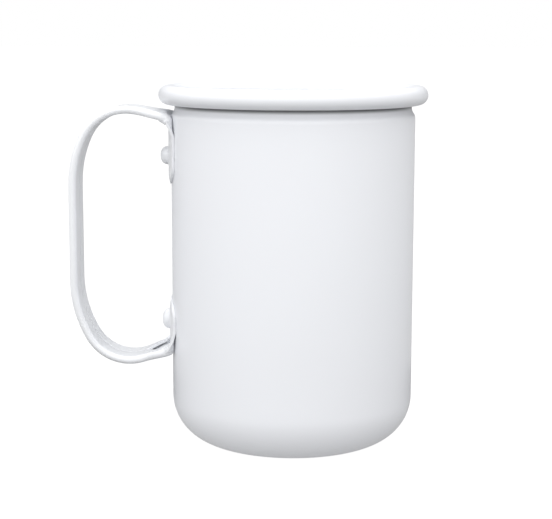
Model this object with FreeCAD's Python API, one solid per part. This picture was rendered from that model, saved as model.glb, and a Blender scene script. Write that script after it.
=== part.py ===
import FreeCAD, Part
import math
import os

# A straight sheet-metal mug with a rolled rim and one riveted strap handle.
# Millimetres. +Z is up, the cup's axis is Z, the base rests on z = 0 and the
# handle points to -X.

# Cup: one drawn sheet
cup_height = 121.3
cup_radius = 41.0
cup_sheet = 0.9
base_corner_radius = 15.8
neck_depth = 1.2
neck_height = 3.6
bead_radius = 3.15
bead_sweep = 308.0
neck_below_bead = 1.0

# Handle: one strip with both long edges folded inward
strip_sheet = 0.9
grip_width = 16.5
grip_fold_depth = 2.6
grip_fold_slot = 0.9
handle_reach = 34.3
side_radius = 40.6
upper_side_angle = 24.4
upper_corner_radius = 17.6
upper_run_slope = 7.7
lower_side_angle = 30.0
lower_corner_radius = 16.7
lower_run_slope = 21.3
wall_bend_radius = 2.4
upper_bend_below_rim = 10.75
lower_bend_above_base = 32.6
bend_width = 23.2
bend_fold_depth = 3.1
bend_fold_slot = 16.0

# Tabs: the flat ends of the strip, curved to the wall
tab_width = 27.4
tab_flare_length = 9.0
tab_corner_radius = 6.0
tab_tip_bow = 0.8
upper_tab_length = 22.45
lower_tab_length = 16.8

# Rivets
upper_head_radius = 3.1
upper_head_height = 2.8
lower_head_radius = 3.5
lower_head_height = 2.6
rivet_head_edge = 0.7
rivet_shank_radius = 1.6
inner_head_radius = 2.8
inner_head_height = 1.1
upper_rivet_to_bend = 13.05
lower_rivet_to_bend = 8.7

# Clearances
tab_to_wall = 0.05
head_to_sheet = 0.03
shank_to_hole = 0.05

# Degrees by which the band that makes a tab is turned past the tab's own edge
spare_turn = 5.0

# Worked out from the sizes above
bead_center_z = cup_height - bead_radius
neck_radius = cup_radius - neck_depth
bead_center_radius = neck_radius - cup_sheet + bead_radius
neck_top_z = bead_center_z - bead_radius - neck_below_bead
tab_back_radius = cup_radius + tab_to_wall
tab_face_radius = tab_back_radius + strip_sheet
upper_bend_z = cup_height - upper_bend_below_rim
lower_bend_z = lower_bend_above_base
upper_rivet_z = upper_bend_z - upper_rivet_to_bend
lower_rivet_z = lower_bend_z + lower_rivet_to_bend
grip_outer_radius = cup_radius + handle_reach

Z_AXIS = FreeCAD.Vector(0, 0, 1)
OUT_AXIS = FreeCAD.Vector(-1, 0, 0)
ORIGIN = FreeCAD.Vector(0, 0, 0)


def side_point(radius, height):
    """Point of the XZ plane, given by its distance from the cup's axis towards the handle."""
    return FreeCAD.Vector(-radius, 0, height)


def line(a, b):
    return Part.LineSegment(a, b).toShape()


def arc(a, middle, b):
    return Part.Arc(a, middle, b).toShape()


def circle_point(radius, height, size, degrees):
    """Point of a circle drawn in the XZ plane, 0 degrees pointing away from the axis."""
    turn = math.radians(degrees)
    return side_point(radius + size * math.cos(turn), height + size * math.sin(turn))


def ring_arc(radius, height, size, start, end):
    """Arc of a circle in the XZ plane between two angles."""
    ends = [circle_point(radius, height, size, turn) for turn in (start, (start + end) / 2, end)]
    return arc(*ends)


def neck_curve(radius):
    """S-shaped step of two equal arcs, from the wall at this radius in to the neck."""
    arc_radius = (neck_height ** 2 + neck_depth ** 2) / (4 * neck_depth)
    turn = math.degrees(2 * math.atan2(neck_depth, neck_height))
    low_z = neck_top_z - neck_height
    lower = ring_arc(radius - arc_radius, low_z, arc_radius, 0, turn)
    upper = ring_arc(radius - neck_depth + arc_radius, neck_top_z, arc_radius, 180 + turn, 180)
    return [lower, upper]


def cup():
    """Closed section of the sheet, turned about the cup's axis."""
    inner_radius = cup_radius - cup_sheet
    inner_corner = base_corner_radius - cup_sheet
    corner_r = cup_radius - base_corner_radius
    low_z = neck_top_z - neck_height
    bead_inside = bead_radius - cup_sheet
    curl_end = 180 - bead_sweep
    outer = [line(side_point(0, 0), side_point(corner_r, 0)),
             ring_arc(corner_r, base_corner_radius, base_corner_radius, -90, 0),
             line(side_point(cup_radius, base_corner_radius), side_point(cup_radius, low_z))]
    outer += neck_curve(cup_radius)
    outer += [line(side_point(neck_radius, neck_top_z), side_point(neck_radius, bead_center_z)),
              ring_arc(bead_center_radius, bead_center_z, bead_inside, 180, curl_end),
              line(circle_point(bead_center_radius, bead_center_z, bead_inside, curl_end),
                   circle_point(bead_center_radius, bead_center_z, bead_radius, curl_end))]
    inner = [ring_arc(bead_center_radius, bead_center_z, bead_radius, curl_end, 180),
             line(side_point(neck_radius - cup_sheet, bead_center_z),
                  side_point(neck_radius - cup_sheet, neck_top_z))]
    inner += neck_curve(inner_radius)[::-1]
    inner += [line(side_point(inner_radius, low_z), side_point(inner_radius, base_corner_radius)),
              ring_arc(corner_r, base_corner_radius, inner_corner, 0, -90),
              line(side_point(corner_r, cup_sheet), side_point(0, cup_sheet)),
              line(side_point(0, cup_sheet), side_point(0, 0))]
    section = Part.Face(Part.Wire(Part.__sortEdges__(outer + inner)))
    shell = section.revolve(ORIGIN, Z_AXIS, 360)
    return shell.cut(rivet_hole(upper_rivet_z)).cut(rivet_hole(lower_rivet_z))


def rivet_hole(height):
    """Round hole along the handle's direction, from inside the wall to outside the tab."""
    start = cup_radius - 2 * cup_sheet
    finish = tab_face_radius + strip_sheet
    return Part.makeCylinder(rivet_shank_radius + shank_to_hole, finish - start,
                             side_point(start, height), OUT_AXIS)


class Trail:
    """Outer face line of the strip in the XZ plane, drawn from a point and a heading in degrees."""

    def __init__(self, radius, height, heading):
        self.radius = radius
        self.height = height
        self.heading = heading
        self.edges = []

    def point(self):
        return side_point(self.radius, self.height)

    def move(self, across, up):
        self.radius += across
        self.height += up

    def straight(self, length):
        start = self.point()
        turn = math.radians(self.heading)
        self.move(length * math.cos(turn), length * math.sin(turn))
        self.edges.append(line(start, self.point()))

    def bend(self, size, angle):
        """Arc to the left by the angle, or to the right where the angle is negative."""
        start = self.point()
        side = math.copysign(1, angle)
        spots = []
        for share in (0.5, 1.0):
            before = math.radians(self.heading)
            after = math.radians(self.heading + angle * share)
            across = side * size * (math.sin(after) - math.sin(before))
            up = side * size * (math.cos(before) - math.cos(after))
            spots.append(side_point(self.radius + across, self.height + up))
        self.radius = -spots[1].x
        self.height = spots[1].z
        self.heading += angle
        self.edges.append(arc(start, spots[0], spots[1]))


class HandleEnd:
    """One half of the handle: its bend at the wall, its tab and the sizes of its corner.

    direction is -1 where the tab hangs down from the bend, and 1 where it stands up from it.
    """

    def __init__(self, direction, bend_z, side_angle, corner_radius, slope, tab_length):
        self.direction = direction
        self.bend_z = bend_z
        self.side_angle = side_angle
        self.corner_radius = corner_radius
        self.slope = slope
        self.tip_z = bend_z + direction * tab_length
        side = math.radians(side_angle)
        fall = math.radians(slope)
        corner_end = grip_outer_radius - side_radius * (1 - math.cos(side))
        corner_end -= corner_radius * (math.sin(fall) + math.cos(side))
        bend_start = tab_back_radius + wall_bend_radius * (1 - math.sin(fall))
        self.run = (corner_end - bend_start) / math.cos(fall)
        rise = side_radius * math.sin(side) + corner_radius * (math.cos(fall) - math.sin(side))
        rise -= self.run * math.sin(fall) + wall_bend_radius * math.cos(fall)
        self.grip_end_z = bend_z + direction * rise

    def corner(self):
        """Trail from the end of the straight grip round the corner to the start of the run."""
        turn = -self.direction
        trail = Trail(grip_outer_radius, self.grip_end_z, 90 * turn)
        trail.bend(side_radius, turn * self.side_angle)
        trail.bend(self.corner_radius, turn * (90 + self.slope - self.side_angle))
        return trail


def strip_section(place, heading, width, fold_depth, fold_slot):
    """Closed section: a flat web whose edges are folded back on it, square to the heading.

    The web's outer face lies on the place given. The round-edged folds stand inward from it, with
    a slot between them.
    """
    turn = math.radians(heading + 90)
    inward = FreeCAD.Vector(-math.cos(turn), 0, math.sin(turn))
    size = fold_depth / 2
    reach = width / 2 - size
    lip = fold_slot / 2

    def spot(across, depth):
        return place + FreeCAD.Vector(0, across, 0) + inward * depth

    edges = [line(spot(-reach, 0), spot(reach, 0)),
             arc(spot(reach, 0), spot(reach + size, size), spot(reach, fold_depth)),
             line(spot(reach, fold_depth), spot(lip, fold_depth)),
             line(spot(lip, fold_depth), spot(lip, strip_sheet)),
             line(spot(lip, strip_sheet), spot(-lip, strip_sheet)),
             line(spot(-lip, strip_sheet), spot(-lip, fold_depth)),
             line(spot(-lip, fold_depth), spot(-reach, fold_depth)),
             arc(spot(-reach, fold_depth), spot(-reach - size, size), spot(-reach, 0))]
    return Part.Wire(edges)


def grip(upper, lower):
    """The folded strip between its two runs, as one sweep along its outer face line."""
    up = upper.corner()
    down = lower.corner()
    straight = line(side_point(grip_outer_radius, lower.grip_end_z),
                    side_point(grip_outer_radius, upper.grip_end_z))
    path = Part.Wire(Part.__sortEdges__(up.edges + down.edges + [straight]))
    start = strip_section(up.point(), up.heading, grip_width, grip_fold_depth, grip_fold_slot)
    return path.makePipeShell([start], True, False)


def run(end):
    """Straight run that widens from the grip to the bend at the wall."""
    trail = end.corner()
    heading = trail.heading if end.direction < 0 else trail.heading + 180
    narrow = strip_section(trail.point(), heading, grip_width, grip_fold_depth, grip_fold_slot)
    trail.straight(end.run)
    wide = strip_section(trail.point(), heading, bend_width, bend_fold_depth, bend_fold_slot)
    return Part.makeLoft([narrow, wide], True, True)


def tab_outline(end):
    """Flat outline of a tab and its bend, drawn in the YZ plane and pulled out along the handle."""
    way = end.direction
    flare_z = end.bend_z + way * tab_flare_length
    corner_z = end.tip_z - way * (tab_corner_radius + tab_tip_bow)
    back_z = end.bend_z - way * (wall_bend_radius + bend_fold_depth)
    half_bend = bend_width / 2
    half_tab = tab_width / 2
    slant = tab_corner_radius * math.sqrt(0.5)
    corner_across = half_tab - tab_corner_radius

    def spot(across, height):
        return FreeCAD.Vector(0, across, height)

    edges = [arc(spot(-corner_across, end.tip_z - way * tab_tip_bow), spot(0, end.tip_z),
                 spot(corner_across, end.tip_z - way * tab_tip_bow)),
             line(spot(-half_bend, back_z), spot(half_bend, back_z))]
    for side in (-1, 1):
        edges += [line(spot(side * half_bend, back_z), spot(side * half_bend, end.bend_z)),
                  line(spot(side * half_bend, end.bend_z), spot(side * half_tab, flare_z)),
                  line(spot(side * half_tab, flare_z), spot(side * half_tab, corner_z)),
                  arc(spot(side * half_tab, corner_z),
                      spot(side * (corner_across + slant), corner_z + way * slant),
                      spot(side * corner_across, corner_z + way * tab_corner_radius))]
    outline = Part.Face(Part.Wire(Part.__sortEdges__(edges)))
    return outline.extrude(OUT_AXIS * grip_outer_radius)


def tab(end):
    """Bend at the wall and flat tab, as a band turned about the cup's axis and cut to outline."""
    way = end.direction
    fall = math.radians(end.slope)
    bend_center = tab_back_radius + wall_bend_radius
    inner_bend = wall_bend_radius - strip_sheet
    start = -way * (90 + end.slope)
    finish = -way * 180
    outer_start = circle_point(bend_center, end.bend_z, wall_bend_radius, start)
    inner_start = circle_point(bend_center, end.bend_z, inner_bend, start)
    lead = side_point(strip_sheet * math.cos(fall), -way * strip_sheet * math.sin(fall))
    edges = [line(outer_start + lead, outer_start),
             ring_arc(bend_center, end.bend_z, wall_bend_radius, start, finish),
             line(side_point(tab_back_radius, end.bend_z), side_point(tab_back_radius, end.tip_z)),
             line(side_point(tab_back_radius, end.tip_z), side_point(tab_face_radius, end.tip_z)),
             line(side_point(tab_face_radius, end.tip_z), side_point(tab_face_radius, end.bend_z)),
             ring_arc(bend_center, end.bend_z, inner_bend, finish, start),
             line(inner_start, inner_start + lead),
             line(inner_start + lead, outer_start + lead)]
    band = Part.Face(Part.Wire(Part.__sortEdges__(edges)))
    half_turn = math.degrees(math.asin(tab_width / 2 / cup_radius)) + spare_turn
    band.rotate(ORIGIN, Z_AXIS, -half_turn)
    return band.revolve(ORIGIN, Z_AXIS, 2 * half_turn).common(tab_outline(end))


def handle():
    """Grip, two widening runs, two bends and two tabs, joined into the one strip."""
    upper = HandleEnd(-1, upper_bend_z, upper_side_angle, upper_corner_radius,
                      upper_run_slope, upper_tab_length)
    lower = HandleEnd(1, lower_bend_z, lower_side_angle, lower_corner_radius,
                      lower_run_slope, lower_tab_length)
    strip = grip(upper, lower).fuse([run(upper), run(lower), tab(upper), tab(lower)])
    strip = strip.removeSplitter()
    return strip.cut(rivet_hole(upper_rivet_z)).cut(rivet_hole(lower_rivet_z))


def upright_cylinder(radius, height, half):
    """Solid cylinder about the cup's axis that reaches half its length above and below a height."""
    return Part.makeCylinder(radius, 2 * half, FreeCAD.Vector(0, 0, height - half), Z_AXIS)


def rivet(height, head_radius, head_height):
    """Domed outer head, shank through tab and wall, and the low head formed inside the cup.

    The two heads are turned as one spool. What the curved tab and wall fill, all but the
    shank, is cut away, so that each head follows the cylinder that it presses on.
    """
    seat = tab_face_radius + head_to_sheet
    inside = cup_radius - cup_sheet - head_to_sheet
    crown = seat + head_height
    edge = seat + rivet_head_edge
    dome_rise = crown - edge
    dome_radius = (head_radius ** 2 + dome_rise ** 2) / (2 * dome_rise)
    half = math.asin(head_radius / dome_radius) / 2
    low = inside - inner_head_height
    bevel = inner_head_height / 2

    def spot(along, off_axis):
        return FreeCAD.Vector(-along, 0, height + off_axis)

    dome_middle = spot(crown - dome_radius * (1 - math.cos(half)), dome_radius * math.sin(half))
    edges = [line(spot(low, 0), spot(low, inner_head_radius - bevel)),
             line(spot(low, inner_head_radius - bevel), spot(low + bevel, inner_head_radius)),
             line(spot(low + bevel, inner_head_radius), spot(cup_radius, inner_head_radius)),
             line(spot(cup_radius, inner_head_radius), spot(cup_radius, head_radius)),
             line(spot(cup_radius, head_radius), spot(edge, head_radius)),
             arc(spot(edge, head_radius), dome_middle, spot(crown, 0)),
             line(spot(crown, 0), spot(low, 0))]
    spool = Part.Face(Part.Wire(edges)).revolve(spot(0, 0), OUT_AXIS, 360)
    shank = Part.makeCylinder(rivet_shank_radius, crown - low, side_point(low, height), OUT_AXIS)
    span = 2 * head_radius
    sheets = upright_cylinder(seat, height, span).cut(upright_cylinder(inside, height, span))
    return spool.cut(sheets.cut(shank))


def main():
    os.makedirs("parts", exist_ok=True)
    shapes = {"cup": cup(),
              "handle": handle(),
              "upper_rivet": rivet(upper_rivet_z, upper_head_radius, upper_head_height),
              "lower_rivet": rivet(lower_rivet_z, lower_head_radius, lower_head_height)}
    for name, shape in shapes.items():
        box = shape.BoundBox
        print(name, "valid", shape.isValid(), "solids", len(shape.Solids), "volume", round(shape.Volume, 1),
              "box", [round(v, 2) for v in (box.XMin, box.YMin, box.ZMin, box.XMax, box.YMax, box.ZMax)])
        shape.exportStep("parts/" + name + ".step")


main()
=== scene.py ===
import math
import bpy
import numpy as np
from mathutils import Matrix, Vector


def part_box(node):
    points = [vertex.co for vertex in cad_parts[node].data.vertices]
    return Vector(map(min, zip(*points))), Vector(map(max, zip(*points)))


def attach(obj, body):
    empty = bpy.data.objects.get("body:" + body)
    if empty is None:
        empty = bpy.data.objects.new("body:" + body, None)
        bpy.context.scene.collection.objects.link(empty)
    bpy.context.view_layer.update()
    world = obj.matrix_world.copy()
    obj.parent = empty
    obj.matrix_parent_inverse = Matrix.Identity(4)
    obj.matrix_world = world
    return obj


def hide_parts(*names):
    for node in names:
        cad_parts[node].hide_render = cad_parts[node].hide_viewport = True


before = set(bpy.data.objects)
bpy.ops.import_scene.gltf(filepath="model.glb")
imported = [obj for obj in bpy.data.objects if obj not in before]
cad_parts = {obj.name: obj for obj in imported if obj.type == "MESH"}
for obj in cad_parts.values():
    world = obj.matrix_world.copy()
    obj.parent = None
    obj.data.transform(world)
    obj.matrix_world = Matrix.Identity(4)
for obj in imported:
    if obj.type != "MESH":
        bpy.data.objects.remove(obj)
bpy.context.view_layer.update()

# A white-painted aluminium mug with a rolled rim and one riveted strap handle.
# Metres. +Z is up, the cup's axis is Z, the handle points to -X and the camera looks along +Y.

MM = 0.001

# Photograph
FRAME_WIDTH_PX = 552
FOCAL_PX = 1463.4
SENSOR_WIDTH = 36.0
CAMERA_PLACE = (-5.64 * MM, -494.0 * MM, 139.2 * MM)
CAMERA_PITCH = math.radians(8.88)
CAMERA_ROLL = math.radians(0.14)
CAMERA_YAW = math.radians(1.86)
CLIP_START = 10 * MM

# Sizes read from the boxes of the CAD parts in model.glb. The grip's smooth curve stays a little inside
# the solid's box.
GRIP_MARGIN = 0.06 * MM
cup_low, cup_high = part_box("cup")
handle_low, handle_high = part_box("handle")
CUP_HEIGHT = cup_high.z
BEAD_REACH = min(cup_high.x, cup_high.y, -cup_low.y)
GRIP_OUTER = -handle_low.x - GRIP_MARGIN
TAB_HALF = handle_high.y

# Cup: the sheet, the bead that its rim is rolled into, the neck below it and the base's corner
CUP_SHEET = 0.9 * MM
BEAD_RADIUS = 3.15 * MM
BEAD_SWEEP = 308
NECK_DEPTH = 1.2 * MM
NECK_HEIGHT = 3.6 * MM
NECK_BELOW_BEAD = 1.0 * MM
BASE_CORNER = 15.8 * MM
CUP_COLUMNS = 256
BASE_ROWS = 12
CORNER_ROWS = 24
WALL_ROWS = 24
NECK_ROWS = 7
BEAD_FOOT_ROWS = 3
BEAD_INSIDE_ROWS = 32
BEAD_OUTSIDE_ROWS = 64
EDGE_ROWS = 6
BEAD_CENTER = BEAD_REACH - BEAD_RADIUS
BEAD_Z = CUP_HEIGHT - BEAD_RADIUS
NECK_RADIUS = BEAD_CENTER - BEAD_RADIUS + CUP_SHEET
CUP_RADIUS = NECK_RADIUS + NECK_DEPTH
NECK_TOP = BEAD_Z - BEAD_RADIUS - NECK_BELOW_BEAD

# Strip of the handle: its flat web, the curl and lip of each folded edge, at the grip and at the wall
STRIP_SHEET = 0.9 * MM
EDGE_ROUND = 0.3 * MM
WEB_HALF = 6.95 * MM
WEB_HALF_AT_WALL = 10.3 * MM
CURL_LENGTH = 2.67 * MM
LIP_LENGTH = 6.65 * MM
LIP_AT_WALL = 1.2 * MM
BLANK_HALF = WEB_HALF_AT_WALL + CURL_LENGTH + LIP_AT_WALL
FOLD_TAPER = 8.5 * MM
# The upper run's edges droop by this much at the bend, and less along this length of the run
UPPER_DROOP = 1.5 * MM
DROOP_RUN = 12 * MM
# Share of the sheet that is left at a tab's tip, and the length over which it thins
TIP_THIN = 0.45
TIP_THIN_LENGTH = 3.0 * MM
SIDE_RADIUS = 40.6 * MM
WALL_BEND = 2.4 * MM
TAB_GAP = 0.05 * MM
TAB_BACK = CUP_RADIUS + TAB_GAP
TAB_FLARE = 9 * MM
TIP_LENGTH = 6.8 * MM
TIP_POWER = 2.3
# Upper and lower end: height of the bend, turn of the side and radius of the corner, slope of the
# run, length of the tab
UPPER_END = (CUP_HEIGHT - 10.75 * MM, 24.4, 17.6 * MM, 7.7, 22.45 * MM)
LOWER_END = (32.6 * MM, 30.0, 16.7 * MM, 21.3, 16.8 * MM)
# The fold of the strip's edges opens towards the wall: distance before the bend, fold in degrees
FOLD_STEPS = ((2.0 * MM, 180), (0, 130), (-3.0 * MM, 60), (-6.0 * MM, 20), (-9.0 * MM, 0))
# The strip curves with the cup's wall at the bend, and no more at this distance out along the run
WRAP_START = 7 * MM
# Least fold in radians, which keeps the curl's radius finite
NO_FOLD = 0.001
# Length over which the path's turns are averaged, and the step of its running sums
HEADING_WINDOW = 4 * MM
PATH_STEP = 0.02 * MM
# Distance between rows over each piece of the path, from the upper tab to the lower one
ROW_STEPS = (0.9, 0.22, 0.5, 0.8, 1.0, 1.5, 1.0, 0.8, 0.5, 0.22, 0.9)
TIP_ROWS = 16
TIP_FIRST_ANGLE = 8
WEB_COLUMNS = 9
CURL_COLUMNS = 15
LIP_COLUMNS = 6
WEIGHT_STEPS = 40
BEVEL_ANGLE = math.radians(50)

# Rivets: the fillet of paint round the crown, the crown's roundness, the shank, the low inner head, and
# how far each head's seat sinks into its sheet
RIVET_FILLET = 0.6 * MM
RIVET_CROWN_POWER = 2.5
SHANK_RADIUS = 1.6 * MM
INNER_HEAD_RADIUS = 2.8 * MM
INNER_HEAD_HEIGHT = 1.1 * MM
RIVET_SINK = 0.02 * MM
RIVET_COLUMNS = 48
CROWN_ROWS = 25
FILLET_ROWS = 8

# Paint: its two near whites, the drift between them, and the bumps of its orange peel and their height
CUP_WHITES = ("eff1f5", "ecedf1")
HANDLE_WHITES = ("eff1f4", "ecedf0")
PAINT_IOR = 1.5
PAINT_ROUGHNESS = 0.3
ROUGHNESS_DRIFT = 0.02
DRIFT_SIZE = 45 * MM
PEEL_SIZE = 2.2 * MM
PEEL_DEPTH = 0.0025 * MM
# Painted shade in the crease under the bead, a dark line: its height, half width, strength and tone. It
# fades in over the first pair of radii and out over the second.
CREASE_SHADE_Z = NECK_TOP + 0.63 * MM
CREASE_SHADE_HALF = 1.4 * MM
CREASE_SHADE_STRENGTH = 0.82
CREASE_SHADE_TONE = "14181a"
CREASE_SHADE_FADE_IN = (NECK_RADIUS - 0.6 * MM, NECK_RADIUS - 0.2 * MM)
CREASE_SHADE_FADE_OUT = (NECK_RADIUS + 1.4 * MM, NECK_RADIUS + 1.0 * MM)

# Studio: the paper floor and its glow
DISC_CORNERS = 96
FLOOR_RADIUS = 12000 * MM
FLOOR_GREY = "505050"
PAPER_GLOW = 0.97
# Bounce card round the foot: its glow near the foot and beyond, and the radii between which it fades
CARD_GLOW = 0.46
CARD_EDGE_GLOW = 0.12
CARD_CORE = 50 * MM
CARD_FADE = 90 * MM
CARD_RADIUS = 130 * MM
CARD_DROP = 0.2 * MM
# Surround: its brightness in each direction, and the parts of a direction between which it changes
FRONT_LEVEL = 1.66
BACK_LEVEL = 0.14
SKY_LEVEL = 1.85
RIGHT_DROP = 0.36
GROUND_LEVEL = 0.54
SEEN_LEVEL = 1.0
FRONT_TO_BACK = (-0.95, 0.99)
RIGHT_SIDE = (0.1, 0.9)
SKY_RISE = (0.35, 0.75)
GROUND_FALL = (0.03, -0.04)


def linear(hex_colour):
    """Linear RGBA of an sRGB hex colour such as "e8ecee"."""
    parts = [int(hex_colour[i:i + 2], 16) / 255 for i in (0, 2, 4)]
    return [p / 12.92 if p <= 0.04045 else ((p + 0.055) / 1.055) ** 2.4 for p in parts] + [1.0]


def add_node(tree, kind, settings=(), links=()):
    """Adds a node, sets its properties and sockets by name or number, and links its inputs."""
    node = tree.nodes.new(kind)
    for name, value in dict(settings).items():
        if isinstance(name, str) and hasattr(node, name):
            setattr(node, name, value)
        else:
            node.inputs[name].default_value = value
    for name, source in dict(links).items():
        tree.links.new(source, node.inputs[name])
    return node


def new_mesh(name, points, faces):
    """Mesh object with smooth faces, from an array of points and lists of corner numbers."""
    mesh = bpy.data.meshes.new(name)
    mesh.from_pydata(points.tolist(), [], faces)
    mesh.polygons.foreach_set("use_smooth", [True] * len(mesh.polygons))
    mesh.update()
    piece = bpy.data.objects.new(name, mesh)
    bpy.context.scene.collection.objects.link(piece)
    return piece


def grid_faces(rows, columns, closed):
    """Corner numbers of the quads between neighbours of a grid, closed round its columns or open."""
    row, column = np.meshgrid(np.arange(rows - 1), np.arange(columns if closed else columns - 1),
                              indexing="ij")
    after = (column + 1) % columns
    quads = (row * columns + column, row * columns + after,
             (row + 1) * columns + after, (row + 1) * columns + column)
    return np.stack(quads, -1).reshape(-1, 4).tolist()


def turned(along, across, columns):
    """Surface of a profile turned about an axis: ring angles run evenly round, each row of the
    profile gives a distance along the axis and a distance from it, and both ends are poles.

    Returns the distances along the axis and the two across it, and the corner numbers of the faces.
    """
    turn = np.arange(columns) * (2 * math.pi / columns)
    ring_along = np.repeat(along[1:-1, None], columns, axis=1)
    first = across[1:-1, None] * np.cos(turn)
    second = across[1:-1, None] * np.sin(turn)
    points = np.stack([ring_along, first, second], -1).reshape(-1, 3)
    poles = np.array([[along[0], 0, 0], [along[-1], 0, 0]])
    rows = len(along) - 2
    column = np.arange(columns)
    after = (column + 1) % columns
    last = (rows - 1) * columns
    start = np.full(columns, rows * columns)
    first_fan = np.stack([start, after, column], -1).tolist()
    last_fan = np.stack([start + 1, last + column, last + after], -1).tolist()
    faces = grid_faces(rows, columns, True) + first_fan + last_fan
    return np.vstack([points, poles]), faces


def arc_points(center, middle, size, start, finish, count):
    """Points of a circle from its centre, size and two angles in degrees, the last left out."""
    turn = np.radians(np.linspace(start, finish, count, endpoint=False))
    return np.stack([center + size * np.cos(turn), middle + size * np.sin(turn)], -1)


def line_points(start, finish, count):
    """Evenly spaced points from start up to but without finish."""
    return np.linspace(start, finish, count, endpoint=False)


def neck_points(radius, low_z, count):
    """S-shaped step of two equal arcs that leads from this radius in to the neck."""
    size = (NECK_HEIGHT ** 2 + NECK_DEPTH ** 2) / (4 * NECK_DEPTH)
    turn = math.degrees(2 * math.atan2(NECK_DEPTH, NECK_HEIGHT))
    lower = arc_points(radius - size, low_z, size, 0, turn, count)
    upper = arc_points(radius - NECK_DEPTH + size, low_z + NECK_HEIGHT, size, 180 + turn, 180, count)
    return np.vstack([lower, upper])


def cup_profile():
    """Section of the cup's sheet as radius and height, from the base's outside to its inside."""
    low_z = NECK_TOP - NECK_HEIGHT
    inner = CUP_RADIUS - CUP_SHEET
    neck_inner = NECK_RADIUS - CUP_SHEET
    corner = CUP_RADIUS - BASE_CORNER
    curl = BEAD_RADIUS - CUP_SHEET
    curl_end = 180 - BEAD_SWEEP
    lip = BEAD_RADIUS - CUP_SHEET / 2
    lip_turn = math.radians(curl_end)
    lip_r = BEAD_CENTER + lip * math.cos(lip_turn)
    lip_z = BEAD_Z + lip * math.sin(lip_turn)
    outside = [line_points((0, 0), (corner, 0), BASE_ROWS),
               arc_points(corner, BASE_CORNER, BASE_CORNER, -90, 0, CORNER_ROWS),
               line_points((CUP_RADIUS, BASE_CORNER), (CUP_RADIUS, low_z), WALL_ROWS),
               neck_points(CUP_RADIUS, low_z, NECK_ROWS),
               line_points((NECK_RADIUS, NECK_TOP), (NECK_RADIUS, BEAD_Z), BEAD_FOOT_ROWS),
               arc_points(BEAD_CENTER, BEAD_Z, curl, 180, curl_end, BEAD_INSIDE_ROWS),
               arc_points(lip_r, lip_z, CUP_SHEET / 2, curl_end + 180, curl_end, EDGE_ROWS)]
    inside = [arc_points(BEAD_CENTER, BEAD_Z, BEAD_RADIUS, curl_end, 180, BEAD_OUTSIDE_ROWS),
              line_points((neck_inner, BEAD_Z), (neck_inner, NECK_TOP), BEAD_FOOT_ROWS),
              neck_points(inner, low_z, NECK_ROWS)[::-1],
              line_points((inner, low_z), (inner, BASE_CORNER), WALL_ROWS),
              arc_points(corner, BASE_CORNER, BASE_CORNER - CUP_SHEET, 0, -90, CORNER_ROWS),
              line_points((corner, CUP_SHEET), (0, CUP_SHEET), BASE_ROWS),
              np.array([[0, CUP_SHEET]])]
    return np.vstack(outside + inside)


def make_cup():
    """The drawn sheet with its rolled rim, turned about the Z axis."""
    profile = cup_profile()
    points, faces = turned(profile[:, 1], profile[:, 0], CUP_COLUMNS)
    points = points[:, [1, 2, 0]]
    return new_mesh("cup_shell", points, faces)


def end_lengths(end):
    """Lengths and turns of the tab, bend, run, corner and side of one end, and the height they rise."""
    side_angle, corner_radius, slope, tab_length = end[1:]
    side = math.radians(side_angle)
    fall = math.radians(slope)
    reach = GRIP_OUTER - SIDE_RADIUS * (1 - math.cos(side))
    reach -= corner_radius * (math.sin(fall) + math.cos(side))
    run = (reach - TAB_BACK - WALL_BEND * (1 - math.sin(fall))) / math.cos(fall)
    rise = SIDE_RADIUS * math.sin(side) + corner_radius * (math.cos(fall) - math.sin(side))
    rise -= run * math.sin(fall) + WALL_BEND * math.cos(fall)
    corner_angle = 90 + slope - side_angle
    pieces = [(tab_length, 0), (WALL_BEND * math.radians(90 - slope), 90 - slope), (run, 0),
              (corner_radius * math.radians(corner_angle), corner_angle),
              (SIDE_RADIUS * side, side_angle)]
    return pieces, rise


def strip_path():
    """Outer face line of the strip, from the upper tab's tip round the grip to the lower tab's tip.

    Each piece of it has a length and a turn. The heading is the running sum of the turns, averaged
    over a short window away from the walls, and the place is the running sum of the headings.
    Returns lengths along the line, radii, heights and headings, and where each piece ends.
    """
    upper, upper_rise = end_lengths(UPPER_END)
    lower, lower_rise = end_lengths(LOWER_END)
    straight = UPPER_END[0] - upper_rise - LOWER_END[0] - lower_rise
    pieces = upper + [(straight, 0)] + lower[::-1]
    ends = np.concatenate([[0], np.cumsum([length for length, turn in pieces])])
    turned_by = np.concatenate([[0], np.cumsum([turn for length, turn in pieces])])
    along = np.arange(0, ends[-1], PATH_STEP)
    heading = 90 - np.interp(along, ends, turned_by)
    window = int(HEADING_WINDOW / PATH_STEP)
    soft = np.convolve(np.pad(heading, window, "edge"), np.ones(window) / window, "same")
    soft = soft[window:-window]
    near_wall = (along < (ends[2] + ends[3]) / 2) | (along > (ends[-4] + ends[-3]) / 2)
    heading = np.radians(np.where(near_wall, heading, soft))
    tip_z = UPPER_END[0] - UPPER_END[4]
    radius = TAB_BACK + np.concatenate([[0], np.cumsum(np.cos(heading) * PATH_STEP)[:-1]])
    height = tip_z + np.concatenate([[0], np.cumsum(np.sin(heading) * PATH_STEP)[:-1]])
    share = along / ends[-1]
    radius += share * (TAB_BACK - radius[-1])
    height += share * (LOWER_END[0] + LOWER_END[4] - height[-1])
    return along, radius, height, heading, ends


def smooth(value):
    """Rises from 0 to 1 with level ends, three squares less two cubes."""
    value = np.clip(value, 0, 1)
    return value * value * (3 - 2 * value)


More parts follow.
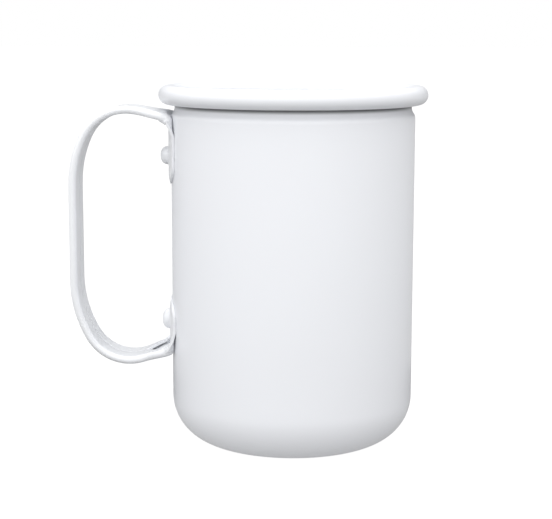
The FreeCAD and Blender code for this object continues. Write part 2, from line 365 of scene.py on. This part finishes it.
def strip_rows(ends):
    """Places of the rows along the strip: close at the tips and bends, wider along the grip."""
    angles = np.radians(np.linspace(TIP_FIRST_ANGLE, 90, TIP_ROWS))
    tip = TIP_LENGTH * (1 - np.cos(angles) ** (2 / TIP_POWER))
    rows = [tip]
    for number, step in enumerate(ROW_STEPS):
        start, finish = ends[number], ends[number + 1]
        if number == 0:
            start += TIP_LENGTH
        if number == len(ROW_STEPS) - 1:
            finish -= TIP_LENGTH
        count = max(2, int(round((finish - start) / (step * MM))))
        rows.append(np.linspace(start, finish, count, endpoint=False)[1 if number == 0 else 0:])
    rows.append(ends[-1] - tip[::-1])
    return np.concatenate(rows)


def add_group(piece, name, weights):
    """Vertex group with one weight for each point, rounded to a small step."""
    group = piece.vertex_groups.new(name=name)
    steps = np.round(weights * WEIGHT_STEPS).astype(int)
    for step in np.unique(steps):
        group.add(np.flatnonzero(steps == step).tolist(), step / WEIGHT_STEPS, "REPLACE")
    return group.name


def row_places(rows, ends):
    """How far each row lies outside the nearer bend, from the nearer tip, and inside its tab from the
    bend, as columns, and whether the row is in the upper half."""
    upper = (rows < ends[-1] / 2)[:, None]
    distance = np.minimum(rows - ends[2], ends[-3] - rows)[:, None]
    from_tip = np.minimum(rows, ends[-1] - rows)[:, None]
    in_tab = np.where(upper, ends[1] - rows[:, None], rows[:, None] - ends[-2])
    return upper, distance, from_tip, in_tab


def strip_width(from_tip, in_tab):
    """Half width of the opened strip over that of its blank. It widens into the tab by a smooth step,
    and the tab's tip is a superellipse."""
    half = BLANK_HALF + (TAB_HALF - BLANK_HALF) * smooth(in_tab / TAB_FLARE)
    rounding = np.clip(1 - from_tip / TIP_LENGTH, 0, 1)
    half = half * (1 - rounding ** TIP_POWER) ** (1 / TIP_POWER)
    return half / BLANK_HALF


def strip_section(distance, size):
    """Section of the strip at each row, as width from its middle and depth from its outer face.

    The middle line is flat over the web, turns through the fold's angle over the curl and ends in a
    straight lip. The fold opens towards the wall, and there the web is wider and the lip shorter.
    """
    places = [place for place, fold in FOLD_STEPS][::-1]
    folds = [fold for place, fold in FOLD_STEPS][::-1]
    fold = np.maximum(np.radians(np.interp(distance, places, folds)), NO_FOLD)
    taper = smooth(distance / FOLD_TAPER)
    fold_line = WEB_HALF_AT_WALL + (WEB_HALF - WEB_HALF_AT_WALL) * taper
    lip_length = LIP_AT_WALL + (LIP_LENGTH - LIP_AT_WALL) * taper
    web = fold_line * np.linspace(0, 1, WEB_COLUMNS)
    curl = fold_line + CURL_LENGTH * np.linspace(0, 1, CURL_COLUMNS)[1:]
    lip = fold_line + CURL_LENGTH + lip_length * np.linspace(0, 1, LIP_COLUMNS)[1:]
    one_side = np.hstack([web, curl, lip])
    across = np.hstack([-one_side[:, :0:-1], one_side])
    bent = np.clip(np.abs(across) - fold_line, 0, CURL_LENGTH)
    straight = np.maximum(np.abs(across) - fold_line - CURL_LENGTH, 0)
    curl_radius = CURL_LENGTH / fold
    angle = bent / curl_radius
    width = np.minimum(np.abs(across), fold_line) + curl_radius * np.sin(angle)
    width = np.sign(across) * (width + straight * np.cos(fold)) * size
    depth = (curl_radius * (1 - np.cos(angle)) + straight * np.sin(fold)) * size
    return width, depth


def make_handle():
    """The strip as the middle surface of its sheet.

    Each point is the path's point, moved inward by the section's depth and sideways by its width. Near
    the wall it is wrapped round the cup's axis. At the upper end the edges droop by the square of
    their width.
    """
    along, radius, height, heading, ends = strip_path()
    rows = strip_rows(ends)
    r = np.interp(rows, along, radius)[:, None]
    z = np.interp(rows, along, height)[:, None]
    turn = np.interp(rows, along, heading)[:, None]
    upper, distance, from_tip, in_tab = row_places(rows, ends)
    thin = TIP_THIN + (1 - TIP_THIN) * smooth(from_tip / TIP_THIN_LENGTH)
    width, depth = strip_section(distance, strip_width(from_tip, in_tab))
    depth = depth + thin * STRIP_SHEET / 2
    droop = UPPER_DROOP * (1 - smooth(distance / DROOP_RUN)) * (1 - smooth(in_tab / TAB_FLARE))
    droop = np.where(upper, droop, 0)
    wrap = 1 - smooth(distance / WRAP_START)
    out = r + np.sin(turn) * depth
    up = z - np.cos(turn) * depth - droop * (width / BLANK_HALF) ** 2
    x = -(out + wrap * out * (np.cos(width / out) - 1))
    y = width + wrap * (out * np.sin(width / out) - width)
    points = np.stack([x, y, up], -1).reshape(-1, 3)
    piece = new_mesh("handle_strip", points, grid_faces(len(rows), width.shape[1], False))
    sheet = piece.modifiers.new("sheet", "SOLIDIFY")
    sheet.thickness = STRIP_SHEET
    sheet.offset = 0
    sheet.use_even_offset = True
    sheet.thickness_vertex_group = 0.0
    sheet.vertex_group = add_group(piece, "thickness", np.broadcast_to(thin, width.shape).ravel())
    edge = piece.modifiers.new("rounded_edge", "BEVEL")
    edge.width = EDGE_ROUND
    edge.segments = 3
    edge.limit_method = "ANGLE"
    edge.angle_limit = BEVEL_ANGLE
    return piece


def make_rivet(name, node):
    """Button head, shank and low inner head, turned about the rivet's own axis.

    The crown is a superellipse with a small concave fillet of paint at its foot. Both heads are
    shifted by the fall of the cylinder that they sit on, at each point's distance to the side.
    """
    low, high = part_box(node)
    middle_z = (low.z + high.z) / 2
    head_radius = (high.z - low.z) / 2
    face = TAB_BACK + STRIP_SHEET
    head_height = -low.x - face
    wall = CUP_RADIUS - CUP_SHEET
    turn = np.radians(np.linspace(0, 90, CROWN_ROWS))
    crown_along = head_height * np.cos(turn) ** (2 / RIVET_CROWN_POWER)
    crown_across = head_radius * np.sin(turn) ** (2 / RIVET_CROWN_POWER)
    keep = crown_along > RIVET_FILLET
    curve = np.radians(np.linspace(0, 90, FILLET_ROWS))
    fillet_along = RIVET_FILLET * (1 - np.sin(curve))
    fillet_across = crown_across[keep][-1] + RIVET_FILLET * (1 - np.cos(curve))
    bevel = INNER_HEAD_HEIGHT / 2
    inner_along = wall - INNER_HEAD_HEIGHT + bevel * (1 - np.cos(curve))
    inner_across = INNER_HEAD_RADIUS - bevel * (1 - np.sin(curve))
    shank_ends = [face - RIVET_SINK, face - RIVET_SINK, wall + RIVET_SINK, wall + RIVET_SINK]
    along = np.concatenate([face + crown_along[keep], face + fillet_along, shank_ends,
                            inner_along[::-1], [wall - INNER_HEAD_HEIGHT]])
    across = np.concatenate([crown_across[keep], fillet_across,
                             [fillet_across[-1], SHANK_RADIUS, SHANK_RADIUS, INNER_HEAD_RADIUS],
                             inner_across[::-1], [0]])
    points, faces = turned(along, across, RIVET_COLUMNS)
    fall = CUP_RADIUS - np.sqrt(CUP_RADIUS ** 2 - points[:, 1] ** 2)
    x = fall - points[:, 0]
    points = np.stack([x, points[:, 1], points[:, 2] + middle_z], -1)
    return new_mesh(name, points, [face_corners[::-1] for face_corners in faces])


def painted_crease_shade_share(tree, place):
    """Share of the painted shade, a dark line in the crease under the rolled bead.

    It rises smoothly to its full strength at the crease's height, and is cut to the neck's outer face
    by two smooth steps of the distance from the cup's axis.
    """
    parts = add_node(tree, "ShaderNodeSeparateXYZ", {}, {0: place.outputs["Object"]})
    above = add_node(tree, "ShaderNodeMath", {"operation": "SUBTRACT", 1: CREASE_SHADE_Z},
                     {0: parts.outputs["Z"]})
    gap = add_node(tree, "ShaderNodeMath", {"operation": "ABSOLUTE"}, {0: above.outputs[0]})
    near = add_node(tree, "ShaderNodeMapRange",
                    {"interpolation_type": "SMOOTHSTEP", "From Min": CREASE_SHADE_HALF, "From Max": 0.0,
                     "To Max": CREASE_SHADE_STRENGTH}, {"Value": gap.outputs[0]})
    level = add_node(tree, "ShaderNodeVectorMath", {"operation": "MULTIPLY", 1: (1, 1, 0)},
                     {0: place.outputs["Object"]})
    radius = add_node(tree, "ShaderNodeVectorMath", {"operation": "LENGTH"}, {0: level.outputs[0]})
    share = near.outputs["Result"]
    for start, finish in (CREASE_SHADE_FADE_IN, CREASE_SHADE_FADE_OUT):
        side = add_node(tree, "ShaderNodeMapRange",
                        {"interpolation_type": "SMOOTHSTEP", "From Min": start, "From Max": finish},
                        {"Value": radius.outputs["Value"]})
        cut = add_node(tree, "ShaderNodeMath", {"operation": "MULTIPLY"},
                       {0: share, 1: side.outputs["Result"]})
        share = cut.outputs[0]
    return share


def paint(name, whites):
    """Stoved white paint on aluminium: an even, slightly soft gloss, a faint cool drift in the white and
    a very low orange peel. Painted shade darkens its colour in the crease under the bead, where light
    hardly reaches.
    """
    light, dark = whites
    material = bpy.data.materials.new(name)
    material.use_nodes = True
    tree = material.node_tree
    tree.nodes.clear()
    place = add_node(tree, "ShaderNodeTexCoord")
    drift = add_node(tree, "ShaderNodeTexNoise", {"Scale": 1 / DRIFT_SIZE, "Detail": 2.0},
                     {"Vector": place.outputs["Object"]})
    peel = add_node(tree, "ShaderNodeTexNoise", {"Scale": 1 / PEEL_SIZE, "Detail": 1.0},
                    {"Vector": place.outputs["Object"]})
    colour = add_node(tree, "ShaderNodeMix", {"data_type": "RGBA", 6: linear(light), 7: linear(dark)},
                      {0: drift.outputs["Fac"]})
    # Painted shade: the crease's dark line is mixed over the paint's white here.
    paint_with_painted_shade = add_node(tree, "ShaderNodeMix", {"data_type": "RGBA", 7: linear(CREASE_SHADE_TONE)},
                     {0: painted_crease_shade_share(tree, place), 6: colour.outputs[2]})
    gloss = add_node(tree, "ShaderNodeMapRange",
                     {"To Min": PAINT_ROUGHNESS - ROUGHNESS_DRIFT,
                      "To Max": PAINT_ROUGHNESS + ROUGHNESS_DRIFT},
                     {"Value": drift.outputs["Fac"]})
    bump = add_node(tree, "ShaderNodeBump", {"Strength": 1.0, "Distance": PEEL_DEPTH},
                    {"Height": peel.outputs["Fac"]})
    shader = add_node(tree, "ShaderNodeBsdfPrincipled", {"IOR": PAINT_IOR},
                      {"Base Color": paint_with_painted_shade.outputs[2], "Roughness": gloss.outputs["Result"],
                       "Normal": bump.outputs["Normal"]})
    add_node(tree, "ShaderNodeOutputMaterial", {}, {"Surface": shader.outputs["BSDF"]})
    return material


def dress(piece, material, *nodes):
    """Gives a new piece its finish, puts it on the mug's body and lets it stand for CAD nodes."""
    piece.data.materials.append(material)
    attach(piece, "root")
    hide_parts(*nodes)


def make_disc(name, size, height):
    """Flat disc round the Z axis: a ring of corners at even angles, closed by one face."""
    turn = np.arange(DISC_CORNERS) * (2 * math.pi / DISC_CORNERS)
    ring = np.stack([size * np.cos(turn), size * np.sin(turn), np.full(DISC_CORNERS, height)], -1)
    return new_mesh(name, ring, [tuple(range(DISC_CORNERS))])


def make_floor():
    """Wide round floor of glowing white paper, whose own light doesn't reach the mug."""
    floor = make_disc("floor", FLOOR_RADIUS, 0.0)
    material = bpy.data.materials.new("floor_paper")
    material.use_nodes = True
    shader = material.node_tree.nodes["Principled BSDF"]
    shader.inputs["Base Color"].default_value = linear(FLOOR_GREY)
    shader.inputs["Roughness"].default_value = 1.0
    shader.inputs["Specular IOR Level"].default_value = 0.0
    shader.inputs["Emission Color"].default_value = linear("ffffff")
    shader.inputs["Emission Strength"].default_value = PAPER_GLOW
    floor.data.materials.append(material)
    floor.visible_diffuse = False
    floor.visible_glossy = False
    floor.visible_shadow = False


def make_card():
    """Disc of bounced light on the floor round the mug, which the camera doesn't see: bright by the
    foot, dim further out."""
    card = make_disc("bounce_card", CARD_RADIUS, -CARD_DROP)
    material = bpy.data.materials.new("bounce_card")
    material.use_nodes = True
    tree = material.node_tree
    tree.nodes.clear()
    place = add_node(tree, "ShaderNodeTexCoord")
    radius = add_node(tree, "ShaderNodeVectorMath", {"operation": "LENGTH"}, {0: place.outputs["Object"]})
    glow = add_node(tree, "ShaderNodeMapRange",
                    {"interpolation_type": "SMOOTHSTEP", "From Min": CARD_CORE, "From Max": CARD_FADE,
                     "To Min": CARD_GLOW, "To Max": CARD_EDGE_GLOW},
                    {"Value": radius.outputs["Value"]})
    shader = add_node(tree, "ShaderNodeEmission", {"Color": linear("ffffff")},
                      {"Strength": glow.outputs["Result"]})
    add_node(tree, "ShaderNodeOutputMaterial", {}, {"Surface": shader.outputs["Emission"]})
    card.data.materials.append(material)
    card.visible_camera = False
    card.visible_shadow = False


def make_world():
    """Soft studio surround, which the camera itself sees as plain white.

    Along the ground it is bright in front and dims smoothly to the back, and a little more to the
    right. It blends into an even sky above and a dim ground below.
    """
    world = bpy.data.worlds.new("studio")
    bpy.context.scene.world = world
    world.use_nodes = True
    tree = world.node_tree
    tree.nodes.clear()
    place = add_node(tree, "ShaderNodeTexCoord")
    parts = add_node(tree, "ShaderNodeSeparateXYZ", {}, {0: place.outputs["Generated"]})
    around = add_node(tree, "ShaderNodeMapRange",
                      {"interpolation_type": "SMOOTHSTEP", "From Min": FRONT_TO_BACK[0],
                       "From Max": FRONT_TO_BACK[1], "To Min": FRONT_LEVEL, "To Max": BACK_LEVEL},
                      {"Value": parts.outputs["Y"]})
    right = add_node(tree, "ShaderNodeMapRange",
                     {"interpolation_type": "SMOOTHSTEP", "From Min": RIGHT_SIDE[0],
                      "From Max": RIGHT_SIDE[1], "To Max": RIGHT_DROP}, {"Value": parts.outputs["X"]})
    dimmed = add_node(tree, "ShaderNodeMath", {"operation": "SUBTRACT"},
                      {0: around.outputs["Result"], 1: right.outputs["Result"]})
    level = add_node(tree, "ShaderNodeMath", {"operation": "MAXIMUM", 1: BACK_LEVEL},
                     {0: dimmed.outputs[0]})
    for limits, brightness in ((SKY_RISE, SKY_LEVEL), (GROUND_FALL, GROUND_LEVEL)):
        share = add_node(tree, "ShaderNodeMapRange",
                         {"interpolation_type": "SMOOTHSTEP", "From Min": limits[0],
                          "From Max": limits[1]}, {"Value": parts.outputs["Z"]})
        level = add_node(tree, "ShaderNodeMix", {"data_type": "FLOAT", 3: brightness},
                         {0: share.outputs["Result"], 2: level.outputs[0]})
    seen = add_node(tree, "ShaderNodeLightPath")
    strength = add_node(tree, "ShaderNodeMix", {"data_type": "FLOAT", 3: SEEN_LEVEL},
                        {0: seen.outputs["Is Camera Ray"], 2: level.outputs[0]})
    shade = add_node(tree, "ShaderNodeBackground", {"Color": linear("ffffff")},
                     {"Strength": strength.outputs[0]})
    add_node(tree, "ShaderNodeOutputWorld", {}, {"Surface": shade.outputs[0]})


def make_camera():
    """Camera at the photograph's distance, height and tilt."""
    data = bpy.data.cameras.new("camera")
    data.sensor_width = SENSOR_WIDTH
    data.lens = FOCAL_PX / FRAME_WIDTH_PX * SENSOR_WIDTH
    data.clip_start = CLIP_START
    camera = bpy.data.objects.new("camera", data)
    bpy.context.scene.collection.objects.link(camera)
    camera.matrix_world = (Matrix.Rotation(CAMERA_YAW, 4, "Z") @ Matrix.Translation(CAMERA_PLACE)
                           @ Matrix.Rotation(math.radians(90) - CAMERA_PITCH, 4, "X")
                           @ Matrix.Rotation(CAMERA_ROLL, 4, "Z"))
    bpy.context.scene.camera = camera


def main():
    bpy.context.scene.view_settings.view_transform = "Standard"
    make_camera()
    make_world()
    make_floor()
    make_card()
    cup_paint = paint("white_stoved_paint_cup", CUP_WHITES)
    handle_paint = paint("white_stoved_paint_handle", HANDLE_WHITES)
    dress(make_cup(), cup_paint, "cup")
    dress(make_handle(), handle_paint, "handle")
    dress(make_rivet("upper_rivet_head", "upper_rivet"), handle_paint, "upper_rivet")
    dress(make_rivet("lower_rivet_head", "lower_rivet"), handle_paint, "lower_rivet")


main()
